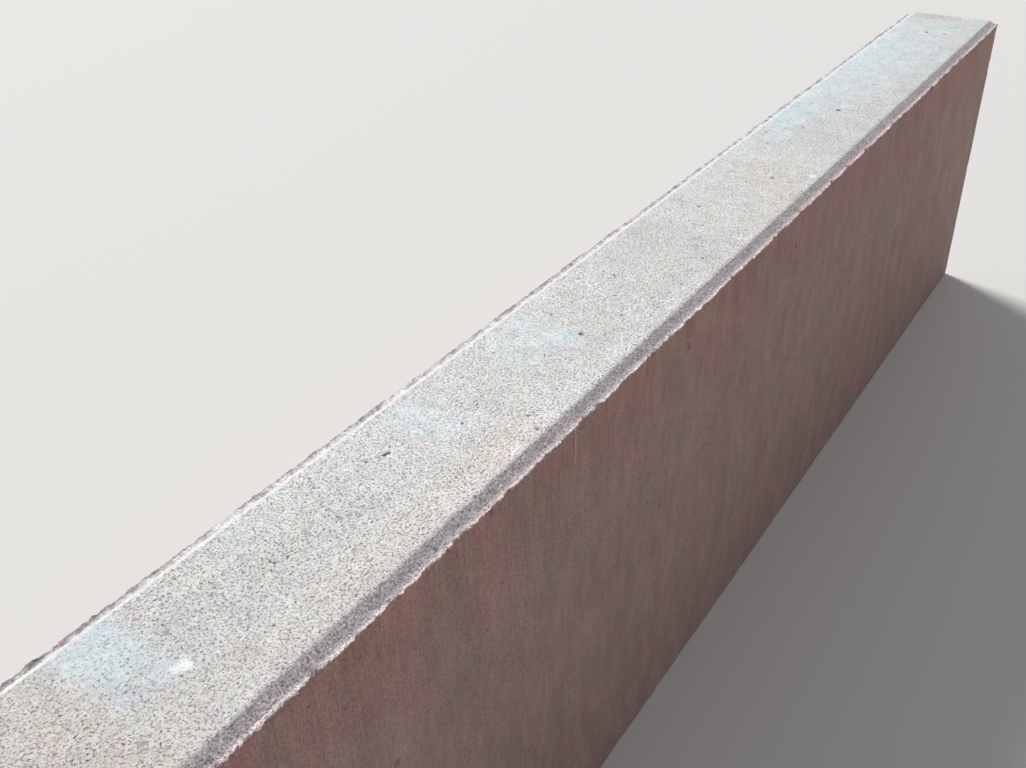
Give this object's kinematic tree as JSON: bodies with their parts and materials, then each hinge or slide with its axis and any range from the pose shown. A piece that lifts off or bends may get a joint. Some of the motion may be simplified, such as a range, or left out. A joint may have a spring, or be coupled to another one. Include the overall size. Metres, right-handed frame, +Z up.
{
  "type": "concrete kerb stone",
  "caption": "Straight concrete edging kerb with narrow chamfers and a level land along both top edges and plain square butt ends.",
  "frame": {"origin": "centre of the bed face, the one the stone stands on", "axes": "+X along the kerb, +Y from the paving side to the garden side, +Z up"},
  "size_m": [1, 0.08, 0.25],
  "materials": {
    "concrete": "matte, sandy, weathered"
  },
  "bodies": {
    "root": {"kerb_stone": "concrete"}
  },
  "joints": []
}
